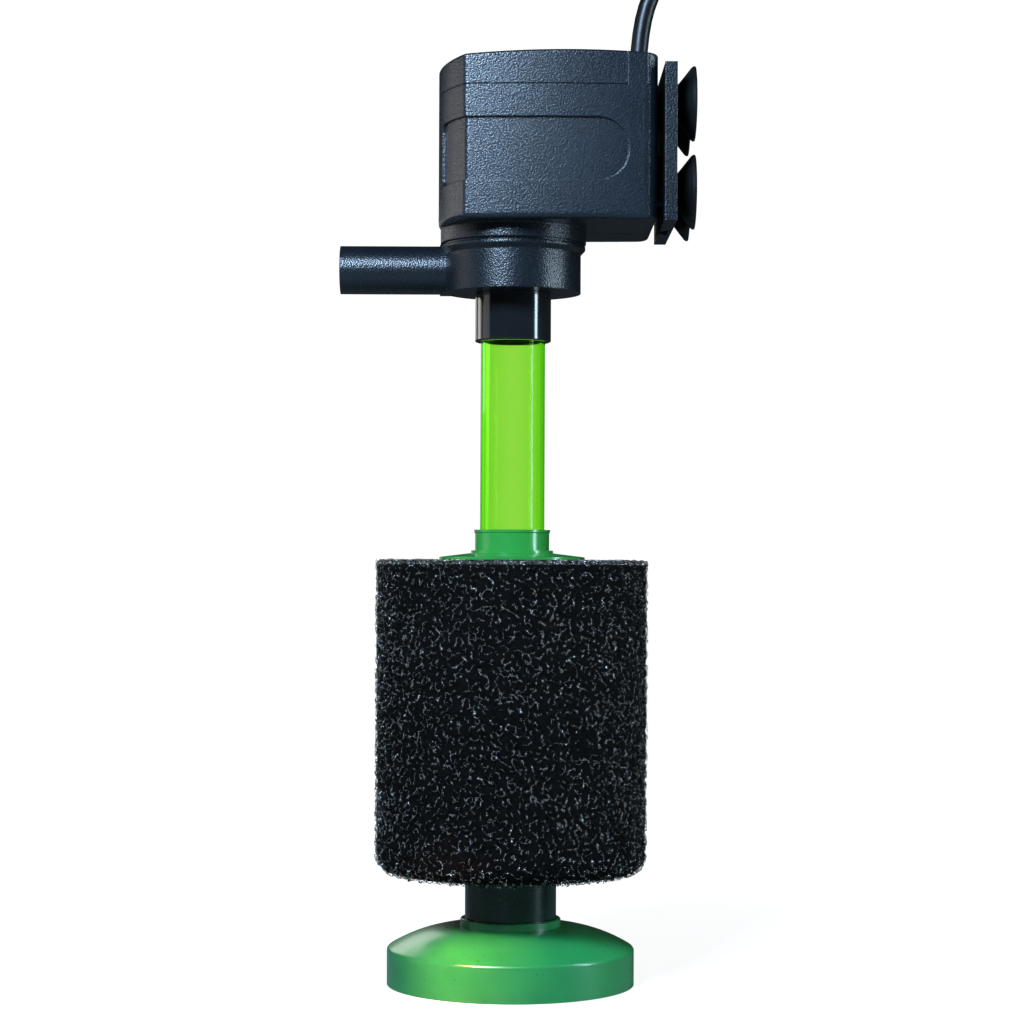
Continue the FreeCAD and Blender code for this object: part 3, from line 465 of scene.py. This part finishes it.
def foam_nodes(rng):
    """Scattered points in a layer under the skin, where the foam's struts meet."""
    low, high, outer = sponge_extent()
    across = np.arange(-outer, outer, FOAM_SPACING)
    up = np.arange(low, high, FOAM_SPACING)
    grid = np.stack(np.meshgrid(across, across, up, indexing="ij"), axis=-1).reshape(-1, 3)
    grid += rng.uniform(-FOAM_JITTER, FOAM_JITTER, grid.shape) * FOAM_SPACING
    radius = np.hypot(grid[:, 0], grid[:, 1])
    depth = sponge_depth(radius, grid[:, 2], low, high, outer)
    keep = (depth > FOAM_SKIN) & (depth < FOAM_DEPTH) & (radius > SPONGE_BORE)
    past_flange = np.clip((radius - FLANGE_REACH) / FLANGE_EASE, 0, 1)
    near_top = np.clip(1 - (high - grid[:, 2]) / FOAM_DEPTH, 0, 1)
    grid[:, 2] += FOAM_SWELL * past_flange * near_top
    return grid[keep]


def foam_struts(points):
    """Pairs of neighbouring points that a strut joins."""
    tree = KDTree(len(points))
    for index, point in enumerate(points):
        tree.insert(point, index)
    tree.balance()
    pairs = set()
    for index, point in enumerate(points):
        for _, other, distance in tree.find_n(point, NEAREST_POINTS):
            if other != index and distance < LONGEST_STRUT:
                pairs.add((min(index, other), max(index, other)))
    return np.array(sorted(pairs))


def strut_mesh(name, starts, ends, radii):
    """A closed three-sided spindle for each strut, in one mesh."""
    way = ends - starts
    length = np.linalg.norm(way, axis=1, keepdims=True)
    way = way / length
    helper = np.where(np.abs(way[:, 2:3]) < 0.8, [[0.0, 0.0, 1.0]], [[1.0, 0.0, 0.0]])
    side = np.cross(way, helper)
    side /= np.linalg.norm(side, axis=1, keepdims=True)
    other = np.cross(way, side)
    middle = (starts + ends) / 2
    reach = length / 2 + STRUT_RADIUS
    corners = [middle - way * reach, middle + way * reach]
    for turn in (0.0, 2 * math.pi / 3, 4 * math.pi / 3):
        corners.append(middle + radii[:, None] * (math.cos(turn) * side + math.sin(turn) * other))
    vertices = np.stack(corners, axis=1).reshape(-1, 3)
    pattern = np.array([(0, 3, 2), (0, 4, 3), (0, 2, 4), (1, 2, 3), (1, 3, 4), (1, 4, 2)])
    faces = (np.arange(len(starts))[:, None, None] * 5 + pattern[None]).reshape(-1, 3)
    mesh = bpy.data.meshes.new(name)
    mesh.from_pydata(vertices.tolist(), [], faces.tolist())
    mesh.shade_smooth()
    return mesh


def sponge_core():
    """The dark body of the sponge under its open skin, as one closed ring."""
    low, high, outer = sponge_extent()
    corner = SPONGE_CORNER - CORE_SINK
    outline = [(SPONGE_BORE, high - CORE_SINK)]
    outline += [(r, high - CORE_SINK) for r in np.linspace(SPONGE_BORE, outer - CORE_SINK, 14)[1:]]
    outline += [(outer - CORE_SINK, z) for z in np.linspace(high - CORE_SINK, low + SPONGE_CORNER, 64)[1:]]
    for step in range(1, 6):
        angle = -math.pi / 2 * step / 5
        outline.append((outer - SPONGE_CORNER + corner * math.cos(angle),
                        low + SPONGE_CORNER + corner * math.sin(angle)))
    outline += [(r, low + CORE_SINK) for r in np.linspace(outer - SPONGE_CORNER, SPONGE_BORE, 14)[1:]]
    around = 180
    vertices = []
    for turn in range(around):
        angle = 2 * math.pi * turn / around
        for radius, height in outline:
            point = Vector((radius * math.cos(angle), radius * math.sin(angle), height))
            lump = noise.noise(point * CORE_LUMPS) if radius > SPONGE_BORE + MM else 0.0
            point += Vector((math.cos(angle), math.sin(angle), 0)) * lump * CORE_LUMP_HEIGHT
            vertices.append(point)
    count = len(outline)
    faces = []
    for turn in range(around):
        after = (turn + 1) % around
        for step in range(count):
            ahead = (step + 1) % count
            faces.append((turn * count + step, turn * count + ahead, after * count + ahead,
                          after * count + step))
    mesh = bpy.data.meshes.new("sponge_core")
    mesh.from_pydata(vertices, [], faces)
    mesh.shade_smooth()
    return mesh


def add_sponge():
    """The sponge's core, and its struts in one piece to each sector."""
    rng = np.random.default_rng(FOAM_SEED)
    points = foam_nodes(rng)
    pairs = foam_struts(points)
    starts, ends = points[pairs[:, 0]], points[pairs[:, 1]]
    radii = STRUT_RADIUS * rng.uniform(0.7, 1.25, len(pairs))
    middle = (starts + ends) / 2
    sector = ((np.arctan2(middle[:, 1], middle[:, 0]) / (2 * math.pi)) % 1.0 * FOAM_SECTORS).astype(int)
    struts = strut_material("foam_struts")
    core = bpy.data.objects.new("sponge_core", sponge_core())
    core.data.materials.append(foam_material("foam_core"))
    pieces = [core]
    for number in range(FOAM_SECTORS):
        chosen = sector == number
        name = f"sponge_struts_{number + 1}"
        piece = bpy.data.objects.new(name, strut_mesh(name, starts[chosen], ends[chosen], radii[chosen]))
        piece.data.materials.append(struts)
        pieces.append(piece)
    for piece in pieces:
        link(piece)
        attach(piece, "sponge_body")
        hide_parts("sponge")


# ---- power cord ----------------------------------------------------------------------------------------

# Places on the route are in millimetres, and become metres when the curve is made.
CORD_WIDTH = 5.7
CORD_RADIUS = CORD_WIDTH / 2 * MM
CORD_START = (40.5, -20.0, 297.0)
FLOOR_GAP = 0.1
CORD_FLOOR = FLOOR_GAP + CORD_WIDTH / 2
COIL_CENTRE = (211.0, 8.0)
COIL_MEAN = 28.5
COIL_WIDEN = 1.012
CROSSOVER = 0.42
# How high a turn in the groove on two rows lies, in cord widths.
NESTED = 1.866
PLUG_AXIS_HEIGHT = 23.25
PLUG_OFFSET = 23.5
LEAD_WIDEN = 1.01
LEAD_CLIMB = 1.15


def hanging_route():
    """The stretch from the gland to the coil, in millimetres."""
    x, y, start = CORD_START
    side = COIL_CENTRE[0] - COIL_MEAN - CORD_WIDTH / 2
    coil_y = COIL_CENTRE[1]
    return [
        (x, y, start), (x, y, start + 20), (48.6, -20, 335.3), (70, -20.5, 358),
        (101, -21.5, 371.5), (134, -23, 370), (163, -25, 354), (181.5, -27, 327),
        (188.5, -29, 285), (189.5, -31, 226), (186.5, -33.5, 163), (183.5, -36.2, 108),
        (182, -38.4, 62), (side, coil_y - 44.5, CORD_FLOOR + 27.3),
        (side, coil_y - 34.5, CORD_FLOOR + 10), (side, coil_y - 17.2, CORD_FLOOR),
        (side, coil_y, CORD_FLOOR),
    ]


def coil_route(per_turn=24):
    """Five turns, clockwise from above: two below, two on them, and one in the groove on top. Each ends by
    crossing over to the next."""
    inner, outer = COIL_MEAN - CORD_WIDTH / 2, COIL_MEAN + CORD_WIDTH / 2
    top = CORD_FLOOR + CORD_WIDTH * NESTED
    turns = [(outer, CORD_FLOOR), (inner, CORD_FLOOR), (inner, CORD_FLOOR + CORD_WIDTH),
             (outer, CORD_FLOOR + CORD_WIDTH), (COIL_MEAN, top), (COIL_MEAN, top + CORD_WIDTH)]
    points = []
    for (radius, height), after in zip(turns, turns[1:]):
        for step in range(1, per_turn + 1):
            share = step / per_turn
            blend = min(max((share - 1 + CROSSOVER) / CROSSOVER, 0.0), 1.0)
            blend = blend * blend * (3 - 2 * blend)
            r = (radius + (after[0] - radius) * blend) * COIL_WIDEN
            z = height + (after[1] - height) * blend
            angle = math.pi - 2 * math.pi * share
            points.append((COIL_CENTRE[0] + r * math.cos(angle), COIL_CENTRE[1] + r * math.sin(angle),
                           z))
    return points


def lead_route(steps=14):
    """Half a turn over the coil's top, a little tighter than the coil, to the plug's tail."""
    radius = (COIL_MEAN + PLUG_OFFSET) / 2
    middle = COIL_CENTRE[0] + PLUG_OFFSET - radius
    low = CORD_FLOOR + CORD_WIDTH * (NESTED + 1)
    points = []
    for step in range(steps):
        share = (step + 0.5) / steps
        angle = math.pi * (1 - share)
        points.append((middle + radius * LEAD_WIDEN * math.cos(angle),
                       COIL_CENTRE[1] + radius * LEAD_WIDEN * math.sin(angle),
                       low + (PLUG_AXIS_HEIGHT - low) * min(LEAD_CLIMB * share, 1.0)))
    end = COIL_CENTRE[0] + PLUG_OFFSET
    return points + [(end, COIL_CENTRE[1], PLUG_AXIS_HEIGHT), (end, COIL_CENTRE[1] - 4, PLUG_AXIS_HEIGHT)]


def evened(route, spacing=6.0, passes=2):
    """The same route in even steps, with its corners eased."""
    route = np.array(route)
    runs = np.linalg.norm(np.diff(route, axis=0), axis=1)
    along = np.concatenate([[0.0], np.cumsum(runs)])
    steps = np.linspace(0.0, along[-1], round(along[-1] / spacing) + 1)
    even = np.stack([np.interp(steps, along, route[:, axis]) for axis in range(3)], axis=1)
    for _ in range(passes):
        even[1:-1] = (even[:-2] + 2 * even[1:-1] + even[2:]) / 4
    return even.tolist()


def add_cord():
    """The cord as one smooth tube, from the gland through the coil to the plug."""
    route = hanging_route() + evened(coil_route() + lead_route())
    data = bpy.data.curves.new("mains_cord", "CURVE")
    data.dimensions = "3D"
    data.bevel_depth = CORD_RADIUS
    data.bevel_resolution = 6
    data.resolution_u = 6
    data.use_fill_caps = True
    spline = data.splines.new("NURBS")
    spline.points.add(len(route) - 1)
    for point, (x, y, z) in zip(spline.points, route):
        point.co = (x * MM, y * MM, z * MM, 1)
    spline.order_u = 3
    spline.use_endpoint_u = True
    cord = bpy.data.objects.new("mains_cord", data)
    link(cord)
    data.materials.append(rubber("cord_rubber", (0.004, 0.004, 0.0045), 0.36, 0.3))
    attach(cord, "filter")
    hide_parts("power_cord", "cord_coil")


bpy.context.scene.view_settings.view_transform = "Standard"
add_camera()
add_world()
add_floor()
add_lights()
dress_all()
add_sponge()
add_cord()
